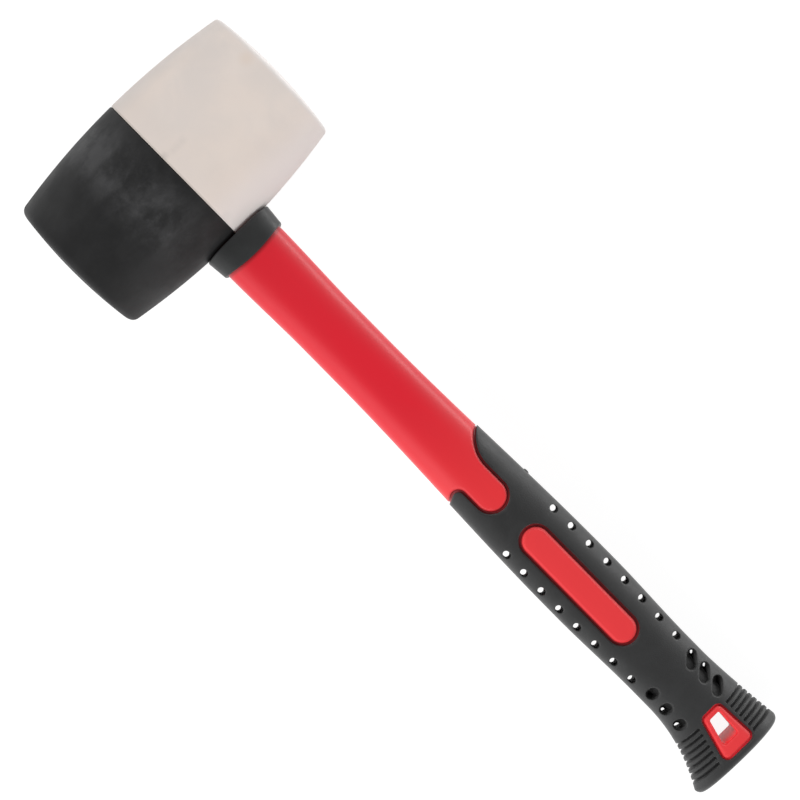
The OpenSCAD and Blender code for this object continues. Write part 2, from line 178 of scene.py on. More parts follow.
class GripSizes(PropertyGroup):
    """Sizes of the grip's edge, windows, holes, pockets and ribs."""

    tongue_r: length("Tongue", "Half width of the red tongue", 6.2)
    tongue_end: length("Tongue end", "Place of the tongue's round end", 169.5)
    pad_shift: length("Pad shift", "Offset of the tongue and pads towards the black face", 0.9)
    lobe_top: length("Lobe top", "Top of the short lobe on the black side", 154)
    lobe_r: length("Lobe radius", "Radius of the short lobe", 2.2)
    lobe_drop: length("Lobe drop", "How far the lobe's outer end lies below its top", 3.1)
    horn_r: length("Horn radius", "Radius of the long horn on the white side", 14)
    horn_from: length("Horn start", "Where the horn leaves the tongue", 154.6)
    pad_from: length("Pad start", "Upper end of the window pad", 180.8)
    pad_to: length("Pad end", "Lower end of the window pad", 236)
    pad_r: length("Pad half width", "Half width of the window pad", 5.6)
    groove_w: length("Groove", "Width of the groove round the tongue, the pad and the frame", 0.7)
    groove_t: length("Groove depth", "Depth of that groove on the handle's faces", 1.1)
    groove_side: length("Groove side depth", "Depth of that groove on the handle's sides", 0.3)
    rim_r: length("Grip rim", "Rounding of the grip's rims", 0.6)
    edge_rim_r: length("Shaft rim", "Rounding of the red shaft's rim", 1.2)
    pad_rim_r: length("Pad rim", "Rounding of the window pad's rim", 1.8)
    frame_rim_r: length("Frame rim", "Rounding of the frame's outer rim", 1)
    hang_rim_r: length("Hang hole rim", "Rounding of the hang hole's rim", 0.7)
    hole_from: length("First hole", "Place of the first hole", 182.8)
    hole_pitch: length("Hole spacing", "Spacing of the holes", 9.05)
    hole_w: length("Hole width", "Width of a hole", 2.4)
    hole_len: length("Hole length", "Length of a hole along the handle", 3.2)
    hole_edge: length("Hole edge", "From the grip's edge to the middle of a row", 2.9)
    hole_rim_r: length("Hole rim", "Rounding of a hole's rim", 0.4)
    pocket_from: length("First long pocket", "Place of the white side's first pocket", 255.9)
    pocket_pitch: length("Long pocket spacing", "Spacing of the white side's pockets", 6.6)
    pocket_w: length("Long pocket width", "Width of the white side's pockets", 3.9)
    pocket_len: length("Long pocket length", "Length of the white side's pockets", 7.6)
    pocket_y: length("Long pocket place", "From the axis to the middle of the white side's pockets", 9)
    short_pocket_from: length("First short pocket", "Place of the black side's first pocket", 254.9)
    short_pocket_pitch: length("Short pocket spacing", "Spacing of the black side's pockets", 7.4)
    short_pocket_w: length("Short pocket width", "Width of the black side's pockets", 4.3)
    short_pocket_len: length("Short pocket length", "Length of the black side's pockets", 4.9)
    short_pocket_y: length("Short pocket place", "From the axis to the black side's first pocket", 9.5)
    short_pocket_step: length("Short pocket step", "How much further out each next one lies", 0.4)
    pocket_rim_r: length("Pocket rim", "Rounding of a pocket's rim", 0.35)
    pocket_steep: length("Pocket steepness", "How deep a pocket's walls stay steep", 2.6)
    pocket_draft: length("Pocket draft", "How much a pocket narrows, each way, on its steep walls", 0.25)
    pocket_web: length("Pocket web", "Web in the middle of the pockets that don't go through", 0.8)
    vent_x: length("Vent place", "How far above a long pocket's middle its vent lies", 0.85)
    vent_y: length("Vent side", "How far out from a long pocket's middle its vent lies", 2.05)
    vent_r: length("Vent radius", "Radius of a pocket's vent", 0.42)
    short_vent_x: length("Short vent place", "How much lower in its pocket each next short vent lies", 0.4)
    short_vent_y: length("Short vent side", "How far out from a short pocket's middle its vent lies", 1.1)
    pocket_wall: length("Pocket wall", "Cover between a pocket and the jacket's sides", 1.3)
    pocket_floor: length("Pocket floor", "Cover between a pocket's floor and the jacket's faces", 0.5)
    rib_from: length("First rib groove", "Place of the first groove between the ribs", 275.5)
    rib_pitch: length("Rib spacing", "Spacing of the ribs", 2.25)
    rib_gap: length("Rib groove", "Width of a groove between ribs", 1.3)
    rib_depth: length("Rib depth", "Depth of a groove between ribs", 1.9)
    rib_fade: length("Rib groove end", "How far a groove takes to reach its depth at its inner end", 0.8)
    rib_black_in: length("Rib end, black", "Inner end of the first groove on the black side", 6.4)
    rib_black_grow: length("Rib end shift", "Extra distance of the last groove's inner end", 3.4)
    rib_white_in: length("Rib end, white", "Inner end of the grooves on the white side", 7)
    frame_from: length("Frame start", "Upper edge of the red frame", 273.6)
    frame_to: length("Frame end", "Lower edge of the red frame", 290.2)
    frame_top_w: length("Frame top width", "Width of the frame at its upper edge", 8.5)
    frame_low_w: length("Frame low width", "Width of the frame at its lower edge", 12.7)
    frame_r: length("Frame corner", "Corner radius of the frame", 1.8)
    hang_from: length("Hang hole start", "Upper edge of the hang hole", 275.6)
    hang_to: length("Hang hole end", "Lower edge of the hang hole", 285.7)
    hang_top_w: length("Hang hole top width", "Width of the hole at its upper edge", 4.9)
    hang_low_w: length("Hang hole low width", "Width of the hole at its lower edge", 6.6)
    hang_r: length("Hang hole corner", "Corner radius of the hole", 0.8)
    hang_top_y: length("Hang hole top shift", "Offset of the upper edges to the white face", 0.6)
    hang_low_y: length("Hang hole low shift", "Offset of the lower edges to the black face", 0.8)
    hole_count: IntProperty(name="Holes", description="Number of holes in each row", default=8)
    pocket_count: IntProperty(name="Pockets", description="Number of pockets on each side", default=3)
    rib_count: IntProperty(name="Rib grooves", description="Number of grooves on each side", default=7)
    nib_at: length("Nib place", "Place of the moulding nib on the white side's edge", 166.6)
    nib_len: length("Nib length", "Length of the nib along the handle", 2.4)
    nib_h: length("Nib height", "Height of the nib", 0.5)
    pocket_slant: FloatProperty(
        name="Long pocket slant",
        description="Slant of the white side's pockets to the handle",
        default=math.radians(48),
        subtype="ANGLE",
    )
    short_pocket_slant: FloatProperty(
        name="Short pocket slant",
        description="Slant of the black side's pockets to the handle",
        default=math.radians(75),
        subtype="ANGLE",
    )


class Finishes(PropertyGroup):
    """Colours of the pieces."""

    black_rubber: colour("Black rubber", "Colour of the black half", 0.015, 0.015, 0.0154)
    white_rubber: colour("White rubber", "Colour of the white half", 0.778, 0.697, 0.646)
    collar: colour("Collar", "Colour of the collar", 0.018, 0.019, 0.0195)
    red: colour("Red plastic", "Colour of the jacket", 0.755, 0.0105, 0.026)
    red_pad: colour("Red pads", "Colour of the window pads and the frame", 0.83, 0.034, 0.04)
    soft_grip: colour("Soft grip", "Colour of the grip", 0.0108, 0.0111, 0.0114)
    adhesive: colour("Adhesive", "Colour of the bond in the eye", 0.5, 0.4, 0.18)
    fibreglass: colour("Fibreglass", "Colour of the rod", 0.6, 0.56, 0.36)


class StageSettings(PropertyGroup):
    """The studio: camera, floor and light."""

    camera_x: length("Camera place", "How far along the handle the camera stands", 116.25)
    camera_y: length("Camera side", "How far to the white side the camera stands", -0.15)
    camera_height: length("Camera height", "Height of the camera above the handle's axis", 850)
    view_width: length("View width", "Width of the view at the handle's axis", 289.6)
    camera_turn: FloatProperty(
        name="Camera turn", description="Turn of the picture", default=math.radians(45.43), subtype="ANGLE"
    )
    floor_size: length("Floor size", "Width of the floor", 8000)
    floor_gap: length("Floor gap", "Gap between the floor and the head", 0.1)
    floor_colour: colour("Floor", "Colour of the floor", 0.82, 0.82, 0.82)
    floor_shadow: factor("Floor shadow", "How strongly the floor shows the object's shadow", 0.22)
    floor_glow: factor("Floor glow", "How much of the floor's white doesn't take a shadow", 0.9)
    sky_top: factor("Light above", "Brightness of the surroundings straight above", 0.2)
    sky_beyond: factor("Light beyond", "Brightness of the surroundings beyond the butt", 0.65)
    light_x: length("Light target", "How far along the handle the lamps point", 130)
    key_power: watts("Key light", "Power of the key light", 10.2)
    side_power: watts("Side light", "Power of the side light", 6.2)


class Sizes:
    """Plain copies of a group's values, which are quicker to read in loops."""

    def __init__(self, group):
        for key in group.__annotations__:
            setattr(self, key, getattr(group, key))


# Mesh tools

def at(x, y, z):
    """A point in the part's frame, from its distances to the head's centre."""
    return Vector((x + HEAD_X, y, z + AXIS_Z))


def spread(first, last, steps):
    return [first + (last - first) * i / steps for i in range(steps + 1)]


def ease(t):
    t = max(0.0, min(1.0, t))
    return t * t * (3 - 2 * t)


def blend(x, x0, v0, x1, v1):
    return v0 + (v1 - v0) * ease((x - x0) / (x1 - x0))


def signed_power(value, power):
    return math.copysign(abs(value) ** power, value)


def alone(piece):
    """Makes a piece the only selected one."""
    bpy.ops.object.select_all(action="DESELECT")
    piece.select_set(True)
    bpy.context.view_layer.objects.active = piece


def named(name):
    piece = bpy.context.object
    piece.name = name
    piece.data.name = name
    return piece


def rolled_body(name, rings):
    """A closed body: a grid whose rows are rolled up into rings of points, with both ends filled."""
    rows, around = len(rings), len(rings[0])
    bpy.ops.object.select_all(action="DESELECT")
    bpy.ops.mesh.primitive_grid_add(x_subdivisions=rows - 1, y_subdivisions=around, size=2)
    body = named(name)
    bpy.ops.object.mode_set(mode="EDIT")
    mesh = bmesh.from_edit_mesh(body.data)
    for v in mesh.verts:
        row = round((v.co.x + 1) / 2 * (rows - 1))
        column = round((v.co.y + 1) / 2 * around) % around
        v.co = rings[row][column]
    bmesh.update_edit_mesh(body.data)
    bpy.ops.mesh.select_all(action="SELECT")
    bpy.ops.mesh.remove_doubles(threshold=1e-7)
    bpy.ops.mesh.select_all(action="SELECT")
    bpy.ops.mesh.fill_holes(sides=0)
    bpy.ops.mesh.select_all(action="SELECT")
    bpy.ops.mesh.normals_make_consistent(inside=False)
    bpy.ops.object.mode_set(mode="OBJECT")
    return body


def carve(body, cutter, operation="DIFFERENCE"):
    """Cuts, keeps or joins a body with another, which is used up."""
    alone(body)
    cut = body.modifiers.new(cutter.name, "BOOLEAN")
    cut.operation = operation
    cut.object = cutter
    cut.solver = "EXACT"
    bpy.ops.object.modifier_apply(modifier=cut.name)
    bpy.data.meshes.remove(cutter.data)
    if not body.data.polygons:
        raise RuntimeError(f"{body.name} has no faces left after {operation}")


def together(name, pieces):
    """Joins separate cutters into one."""
    bpy.ops.object.select_all(action="DESELECT")
    for piece in pieces:
        piece.select_set(True)
    bpy.context.view_layer.objects.active = pieces[0]
    bpy.ops.object.join()
    return named(name)


def arc(x, y, radius, first, last, steps):
    return [
        (x + radius * math.cos(math.radians(a)), y + radius * math.sin(math.radians(a)))
        for a in spread(first, last, steps)
    ]


def line(start, end, steps):
    """Points between two points, without the ends."""
    return [
        (start[0] + (end[0] - start[0]) * t, start[1] + (end[1] - start[1]) * t)
        for t in spread(0, 1, steps)[1:-1]
    ]


def oval(x, y, straight, radius, turn=0.0, side_steps=2, round_steps=10):
    """A closed outline with two half-round ends, turned round its middle."""
    half = straight / 2
    loop = arc(half, 0, radius, -90, 90, round_steps)
    loop += line((half, radius), (-half, radius), side_steps)
    loop += arc(-half, 0, radius, 90, 270, round_steps)
    loop += line((-half, -radius), (half, -radius), side_steps)
    c, s = math.cos(turn), math.sin(turn)
    return [(x + c * px - s * py, y + s * px + c * py) for px, py in loop]


def round_corners(centres, radius, side_steps=10, round_steps=6):
    """A closed outline round a few corner centres, anticlockwise."""
    loop = []
    count = len(centres)
    for i, (x, y) in enumerate(centres):
        before, after = centres[i - 1], centres[(i + 1) % count]
        first = math.degrees(math.atan2(y - before[1], x - before[0])) - 90
        last = math.degrees(math.atan2(after[1] - y, after[0] - x)) - 90
        while last < first:
            last += 360
        corner = arc(x, y, radius, first, last, round_steps)
        if loop:
            loop += line(loop[-1], corner[0], side_steps)
        loop += corner
    return loop + line(loop[-1], loop[0], side_steps)


def rim(radius, way):
    """Levels of a rounded rim: how far the outline moves, and how high over the skin."""
    shape = [(1.2, 0.3), (0.66, -0.09), (0.34, -0.27), (0.12, -0.56), (0.0, -1.0)]
    return [(way * radius * out, radius * up) for out, up in shape]


def plug(name, outline, levels, skin, waist=None, web=0.0):
    """A solid on an outline, through the handle or to a web, whose rims follow its skin front and back."""
    front = [[(x, y, REACH) for x, y in outline(levels[0][0])]]
    for out, up in levels:
        front.append([(x, y, max(skin(x, y) + up, THIN)) for x, y in outline(out)])
    front.append([(x, y, web / 2) for x, y in waist or outline(levels[-1][0])])
    back = [[(x, y, -z) for x, y, z in ring] for ring in reversed(front)]
    halves = (front, back) if web else (front + back[1:],)
    return together(name, [rolled_body(name, [[at(*p) for p in ring] for ring in half]) for half in halves])


def mark_recess_shade(piece, form, grow, floors):
    """Stores on each face how much it is a wall under the outside, or by a share a floor there; the finishes
    paint shade in these recesses with it.
    """
    walls = piece.data.attributes.new("wall", "FLOAT", "FACE")
    for face, wall in zip(piece.data.polygons, walls.data):
        x, y, z = face.center - at(0, 0, 0)
        sunk = ease(form.sunk(x, y, z, grow) / WALL_DEPTH)
        steep = 1 - abs(face.normal.z)
        wall.value = sunk * (steep + floors * (1 - steep)) if x < form.s.lip_at else 0.0


def finish_piece(piece, node, material, angle):
    """Smooths a piece, gives it its finish and puts it in the place of its node."""
    alone(piece)
    bpy.ops.object.shade_smooth_by_angle(angle=math.radians(angle))
    piece.data.materials.clear()
    piece.data.materials.append(material)
    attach(piece, "root")
    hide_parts(node)


# The handle's form

class HandleForm:
    """The handle's outside, by the distance x from the head's centre."""

    def __init__(self, sizes, grip):
        self.s = sizes
        self.g = grip
        self.seat = bpy.context.scene.mallet_head.waist_d / 2 + sizes.seat_gap
        self.collar_end = self.seat + sizes.collar_h
        self.tongue_y = -grip.pad_shift
        self.grip_from = grip.lobe_top - grip.horn_r
        self.core_end = (grip.frame_to + sizes.handle_end) / 2
        self.butt_round = sizes.handle_end - sizes.lip_at

    def along(self, x, neck, waist, belly, heel):
        s = self.s
        if x < s.waist_to:
            return blend(x, self.collar_end, neck, s.waist_from, waist)
        if x < s.belly_to:
            return blend(x, s.waist_to, waist, s.belly_from, belly)
        return blend(x, s.belly_to, belly, s.heel_at, heel)

    def flare(self, x, power):
        s = self.s
        return max(0.0, min(1.0, (x - s.flare_from) / (s.lip_at - s.flare_from))) ** power

    def half_w(self, x):
        s = self.s
        return self.along(x, s.neck_w, s.waist_w, s.belly_w, s.heel_w) / 2

    def black_half(self, x):
        return self.half_w(x) + (self.s.butt_black_w - self.s.heel_w / 2) * self.flare(x, self.s.black_flare)

    def white_half(self, x):
        return self.half_w(x) + (self.s.butt_white_w - self.s.heel_w / 2) * self.flare(x, self.s.white_flare)

    def half_t(self, x):
        s = self.s
        plain = self.along(x, s.neck_t, s.waist_t, s.belly_t, s.heel_t) / 2
        return plain + (s.butt_t - s.heel_t) / 2 * self.flare(x, s.white_flare)

    def power_at(self, x):
        s = self.s
        return blend(x, s.heel_at, s.section_power, s.lip_at, s.butt_power)

    def bowed(self, x, y):
        return -self.s.butt_bow * self.flare(x, 1) * (y / self.s.butt_black_w) ** 2

    def section(self, x, black, white, thick, power, around):
        """Points round one section, with its own half width to each side."""
        points = []
        for i in range(around):
            a = 2 * math.pi * i / around
            c = signed_power(math.cos(a), 2 / power)
            y = c * (white if c > 0 else black)
            points.append((x + self.bowed(x, y), y, thick * signed_power(math.sin(a), 2 / power)))
        return points

    def ring(self, x, grow, around, thinner=0.0):
        return self.section(
            x,
            self.black_half(x) + grow,
            self.white_half(x) + grow,
            self.half_t(x) + grow - thinner,
            self.power_at(x),
            around,
        )

    def core_ring(self, x, grow, around, thinner=0.0):
        wide = self.s.core_half_w + grow
        thick = self.half_t(x) - self.s.core_cover + grow - thinner
        return self.section(x, wide, wide, thick, self.s.core_power, around)

    def skin(self, grow):
        """Height of the outside over the middle plane at any x and y."""

        def height(x, y):
            power = self.power_at(x)
            wide = (self.white_half(x) if y > 0 else self.black_half(x)) + grow
            left = 1 - min(1.0, abs(y) / wide) ** power
            return (self.half_t(x) + grow) * left ** (1 / power)

        return height

    def sunk(self, x, y, z, grow):
        """0 on the outside, rising to 1 at the axis."""
        wide = (self.white_half(x) if y > 0 else self.black_half(x)) + grow
        thick = self.half_t(x) + grow
        power = self.power_at(x)
        return 1 - (abs(y) / wide) ** power - (abs(z) / thick) ** power

    def body(self, name, xs, grow, thinner=0.0, around=128):
        return rolled_body(name, [[at(*p) for p in self.ring(x, grow, around, thinner)] for x in xs])

    def core(self, name, grow, first, last, thinner=0.0, around=64):
        rings = [self.core_ring(x, grow, around, thinner) for x in spread(first, last, 60)]
        return rolled_body(name, [[at(*p) for p in ring] for ring in rings])

    def grip_edge(self, out, closing):
        """Where the grip meets the red, moved out into the grip, closed beyond at x closing."""
        g = self.g
        low = self.tongue_y - g.tongue_r - g.groove_w
        high = self.tongue_y + g.tongue_r + g.groove_w
        tongue_x = g.tongue_end - g.tongue_r
        lobe = Vector((g.lobe_top + g.lobe_r, low - g.lobe_r))
        outer = Vector((lobe.x + g.lobe_drop, -self.half_w(g.lobe_top) - g.lobe_r))
        way = (outer - lobe).normalized()
        side = Vector((way.y, -way.x)) * (g.lobe_r - out)
        start = lobe + side + way * (4 * g.lobe_r + REACH) / 2
        turn = math.degrees(math.atan2(side.y, side.x)) % 360
        horn_y = high + g.horn_r
        edge = [(closing, start.y)]
        edge += [tuple(start)] + line(start, lobe + side, 24)
        edge += arc(lobe.x, lobe.y, g.lobe_r - out, turn, 90, 12)
        edge += line((lobe.x, low - out), (tongue_x, low - out), 8)
        edge += arc(tongue_x, self.tongue_y, g.tongue_r + g.groove_w + out, -90, 90, 32)
        edge += line((tongue_x, high + out), (g.horn_from, high + out), 8)
        edge += arc(g.horn_from, horn_y, g.horn_r - out, -90, -180, 30)
        edge += [(g.horn_from - g.horn_r + out, horn_y + REACH / 2), (closing, horn_y + REACH / 2)]
        return edge

    def pad_outline(self, out):
        g = self.g
        straight = g.pad_to - g.pad_from - 2 * g.pad_r
        return oval((g.pad_from + g.pad_to) / 2, self.tongue_y, straight, g.pad_r + out, 0, 40, 28)

    def leaning(self, first, last, top_w, low_w, radius, out):
        g = self.g
        top, low = top_w / 2 - radius, low_w / 2 - radius
        corners = [
            (first + radius, g.hang_top_y - top),
            (last - radius, -g.hang_low_y - low),
            (last - radius, -g.hang_low_y + low),
            (first + radius, g.hang_top_y + top),
        ]
        return round_corners(corners, radius + out)

    def frame_outline(self, out):
        g = self.g
        return self.leaning(g.frame_from, g.frame_to, g.frame_top_w, g.frame_low_w, g.frame_r, out)

    def hang_outline(self, out):
        g = self.g
        return self.leaning(g.hang_from, g.hang_to, g.hang_top_w, g.hang_low_w, g.hang_r, out)


def handle_form():
    scene = bpy.context.scene
    return HandleForm(Sizes(scene.mallet_handle), Sizes(scene.mallet_grip))


# Finishes

class Value:
    """One shader socket. Arithmetic on it adds Math nodes."""

    def __init__(self, finish, socket):
        self.finish = finish
        self.socket = socket

    def math(self, operation, *terms):
        return self.finish.node("ShaderNodeMath", {"operation": operation}, dict(enumerate(terms)))

    def __add__(self, other):
        return self.math("ADD", self, other)

    def __sub__(self, other):
        return self.math("SUBTRACT", self, other)

    def __rsub__(self, other):
        return self.math("SUBTRACT", other, self)

    def __mul__(self, other):
        return self.math("MULTIPLY", self, other)

    def __pow__(self, other):
        return self.math("POWER", self, other)

    __radd__ = __add__
    __rmul__ = __mul__


class Finish:
    """A material's or a world's nodes, added one by one."""

    def __init__(self, tree):
        self.tree = tree
        tree.nodes.clear()

    def node(self, kind, settings=None, sockets=None, out=0):
        made = self.tree.nodes.new(kind)
        for key, value in (settings or {}).items():
            setattr(made, key, value)
        for key, value in (sockets or {}).items():
            if isinstance(value, Value):
                self.tree.links.new(value.socket, made.inputs[key])
            else:
                made.inputs[key].default_value = value
        return Value(self, made.outputs[out]) if made.outputs else made

    def place(self):
        return self.node("ShaderNodeTexCoord", out=3)

    def moved(self, vector, location=(0, 0, 0), turn=(0, 0, 0), scale=(1, 1, 1)):
        sockets = {"Vector": vector, "Location": location, "Rotation": turn, "Scale": scale}
        return self.node("ShaderNodeMapping", sockets=sockets)

    def axes(self, vector, names):
        """The parts of a vector along the named axes."""
        return [self.node("ShaderNodeSeparateXYZ", sockets={0: vector}, out=name) for name in names]

    def noise(self, vector, scale, detail=3.0, rough=0.5, bend=0.0):
        sockets = {"Vector": vector, "Scale": scale, "Detail": detail, "Roughness": rough, "Distortion": bend}
        return self.node("ShaderNodeTexNoise", sockets=sockets)

    def grain(self, vector, scale):
        return self.node("ShaderNodeTexVoronoi", sockets={"Vector": vector, "Scale": scale})

    def ramp(self, value, low, high, to_low=0.0, to_high=1.0):
        sockets = {0: value, 1: low, 2: high, 3: to_low, 4: to_high}
        return self.node("ShaderNodeMapRange", {"interpolation_type": "SMOOTHSTEP"}, sockets)

    def mix(self, amount, first, second):
        first = first if isinstance(first, Value) else (*first, 1)
        second = second if isinstance(second, Value) else (*second, 1)
        sockets = {0: amount, 6: first, 7: second}
        return self.node("ShaderNodeMix", {"data_type": "RGBA"}, sockets, out=2)

    def bump(self, height, strength, distance):
        sockets = {"Height": height, "Strength": strength, "Distance": distance}
        return self.node("ShaderNodeBump", sockets=sockets)

    def kept(self, name):
        """A value stored on the mesh."""
        return self.node("ShaderNodeAttribute", {"attribute_name": name}, out=2)

    def spot(self, vector, centre, size):
        """1 at a place on the surface, falling to 0 at about size from it."""
        apart = self.node("ShaderNodeVectorMath", {"operation": "SUBTRACT"}, {0: vector, 1: centre})
        away = self.node("ShaderNodeVectorMath", {"operation": "LENGTH"}, {0: apart}, out=1)
        return self.ramp(away, 0.0, size, 1.0, 0.0)

    def surface(self, shader):
        self.node("ShaderNodeOutputMaterial", sockets={"Surface": shader})

    def skin(self, shade, rough, normal, constants=None):
        """A plastic or rubber surface, with its constant sockets by name."""
        sockets = {"Base Color": shade, "Roughness": rough, "Normal": normal, **(constants or {})}
        self.surface(self.node("ShaderNodeBsdfPrincipled", sockets=sockets))


def new_finish(name):
    material = bpy.data.materials.new(name)
    material.use_nodes = True
    return material, Finish(material.node_tree)


def tint(base, amount, warm=0.0):
    """A setting's colour made lighter or darker, and warmer or cooler."""
    r, g, b = base
    return (r * amount * (1 + warm), g * amount, b * amount * (1 - warm))


def black_rubber_finish(finishes):
    """Matte moulded rubber with cloudy paler rub marks."""
    material, f = new_finish("black_rubber")
    base = finishes.black_rubber
    spot = f.place()
    x, y = f.axes(spot, "XY")
    leaning = f.moved(spot, turn=(0, 0, math.radians(20)), scale=(1.3, 0.9, 1))
    clouds = f.ramp(f.noise(leaning, 78, 5, 0.6, 0.15), 0.34, 0.72)
    flecks = f.ramp(f.noise(spot, 330, 4, 0.65), 0.42, 0.75)
    band = f.ramp(y, -31 * MM, -17 * MM) * f.ramp(y, -13 * MM, -2 * MM, 1.0, 0.3)
    band = band * f.ramp(x, HEAD_X + 12 * MM, HEAD_X + 28 * MM, 1.0, 0.3)
    marks = clouds * (0.15 + 0.75 * band) + flecks * band * 0.3 + band * 0.08
    joint = f.ramp(y, -5 * MM, -0.4 * MM)
    shade = f.mix(marks, tint(base, 0.9), tint(base, 3.6))
    shade = f.mix(joint * 0.5, shade, tint(base, 0.6))
    fine = f.noise(spot, 2600, 2, 0.6)
    rough = f.ramp(f.noise(spot, 70, 4), 0.3, 0.7, 0.56, 0.7)
    height = fine * 0.6 + f.noise(spot, 500, 3) * 0.4
    constants = {"Specular IOR Level": 0.3}
    f.skin(shade, rough, f.bump(height, 0.25, GRAIN), constants)
    return material


def white_rubber_finish(finishes):
    """Matte warm white rubber, faintly mottled, with a few grey smudges by the joint, painted shade on the
    barrel's side away from the handle, painted light on its side towards the handle and a painted highlight
    along the face's rim.
    """
    material, f = new_finish("white_rubber")
    base = finishes.white_rubber
    spot = f.place()
    x, y = f.axes(spot, "XY")
    mottle = f.ramp(f.noise(spot, 48, 4, 0.55, 0.4), 0.35, 0.68)
    warm = f.ramp(f.noise(f.moved(spot, location=(3, 1, 2)), 26, 3), 0.4, 0.65)
    shade = f.mix(mottle, tint(base, 0.965, -0.008), tint(base, 1.02, 0.006))
    shade = f.mix(warm * 0.35, shade, tint(base, 1.0, 0.05))
    shade = f.mix(f.ramp(y, 5 * MM, 16 * MM, 0.6, 0.0), shade, tint(base, 0.94, 0.01))
    smears = [(-1.2, up, 32.2, 2.4, 0.16) for up in (3.5, 5.5, 7.5, 9.5)]
    patches = [(-2, 0.7, 32.3, 2.6, 0.6), (14, 9, 29, 7, 0.12), (26.8, 0.8, 18.2, 4, 0.8)]
    smudges = 0.0
    for px, py, pz, size, strength in smears + patches:
        smudges = smudges + f.spot(spot, at(px * MM, py * MM, pz * MM), size * MM) * strength
    patchy = f.ramp(f.noise(spot, 420, 4, 0.6), 0.3, 0.7, 0.45, 1.0)
    shade = f.mix(smudges * patchy * 0.55, shade, tint(base, 0.5, -0.03))
    stain = f.spot(spot, at(-6.8 * MM, 45.5 * MM, 28.4 * MM), 4.5 * MM)
    shade = f.mix(stain * 0.35, shade, tint(base, 0.86, 0.12))
    joint = f.ramp(y, 0.25 * MM, 0.9 * MM, 1.0, 0.0)
    shade = f.mix(joint * 0.45, shade, tint(base, 0.5, 0.03))
    # Painted shade on the barrel's side away from the handle
    shade = f.mix(f.ramp(x, HEAD_X - 31 * MM, HEAD_X - 22 * MM, 0.8, 0.0), shade, tint(base, 0.87, -0.02))
    # Painted light on the barrel's side towards the handle
    shade = f.mix(f.ramp(x, HEAD_X + 18 * MM, HEAD_X + 31 * MM, 0.0, 0.8), shade, tint(base, 1.12, -0.05))
    # Painted highlight along the rim of the white face
    shade = f.mix(f.ramp(y, 47.5 * MM, 49.5 * MM, 0.0, 0.8), shade, tint(base, 1.12, -0.06))
    rough = f.ramp(f.noise(spot, 90, 4), 0.3, 0.7, 0.5, 0.64)
    height = f.noise(spot, 2200, 2, 0.6) * 0.6 + f.noise(spot, 300, 3) * 0.4
    constants = {"Specular IOR Level": 0.35}
    f.skin(shade, rough, f.bump(height, 0.2, GRAIN), constants)
    return material


def collar_finish(finishes):
    """Satin black plastic with a fine spark-eroded grain."""
    material, f = new_finish("collar_plastic")
    base = finishes.collar
    spot = f.place()
    shade = f.mix(f.ramp(f.noise(spot, 120, 4), 0.35, 0.7), tint(base, 0.9), tint(base, 1.25))
    rough = f.ramp(f.noise(spot, 200, 3), 0.3, 0.7, 0.42, 0.52)
    constants = {"Specular IOR Level": 0.7}
    f.skin(shade, rough, f.bump(f.noise(spot, 3000, 2, 0.6), 0.2, GRAIN), constants)
    return material


def red_finish(finishes, form):
    """Satin red moulded plastic with faint flow marks along the handle, painted shade in its grooves and
    holes, painted light on the walls by the hang hole, and a painted shadow under the collar.
    """
    material, f = new_finish("red_plastic")
    base = finishes.red
    spot = f.place()
    flow = f.noise(f.moved(spot, scale=(0.25, 1, 1)), 90, 4, 0.55, 0.5)
    x, y = f.axes(spot, "XY")
    shade = f.mix(f.ramp(x, HEAD_X + 110 * MM, HEAD_X + 182 * MM), base, finishes.red_pad)
    shade = f.mix(f.ramp(flow, 0.3, 0.7, 0.0, 0.06), shade, tint(base, 0.4))
    # Painted shade on the walls and floors of the grooves and holes; from the frame on, painted light on
    # these walls instead, for the hang hole's bright walls
    wall = f.kept("wall")
    at_hole = f.ramp(x, HEAD_X + 262 * MM, HEAD_X + 272 * MM)
    shade = f.mix(wall, shade, f.mix(at_hole, tint(base, 0.16), tint(base, 1.3, 0.1)))
    s = form.s
    # Painted shadow of the collar on the shaft, along the collar's bowed lower edge
    bow = s.collar_bow * (1.0 - (y * (2 / s.collar_low_w)) ** 2.0)
    collar_shadow_distance = x - (HEAD_X + form.collar_end) - bow
    shade = f.mix(f.ramp(collar_shadow_distance, 0.0, 1.8 * MM, 0.7, 0.0), shade, tint(base, 0.3))
    scuffs = f.ramp(f.noise(f.moved(spot, scale=(0.2, 1, 1)), 700, 5, 0.7), 0.6, 0.8)
    rough = f.ramp(flow, 0.3, 0.7, 0.34, 0.42) + scuffs * 0.06
    rough = rough + f.ramp(x, HEAD_X + 170 * MM, HEAD_X + 182 * MM, 0.0, 0.18) - wall * at_hole * 0.12
    height = f.noise(spot, 900, 3, 0.5) * 0.5 + flow * 0.5
    constants = {"Specular IOR Level": 0.65}
    f.skin(shade, rough, f.bump(height, 0.12, GRAIN), constants)
    return material


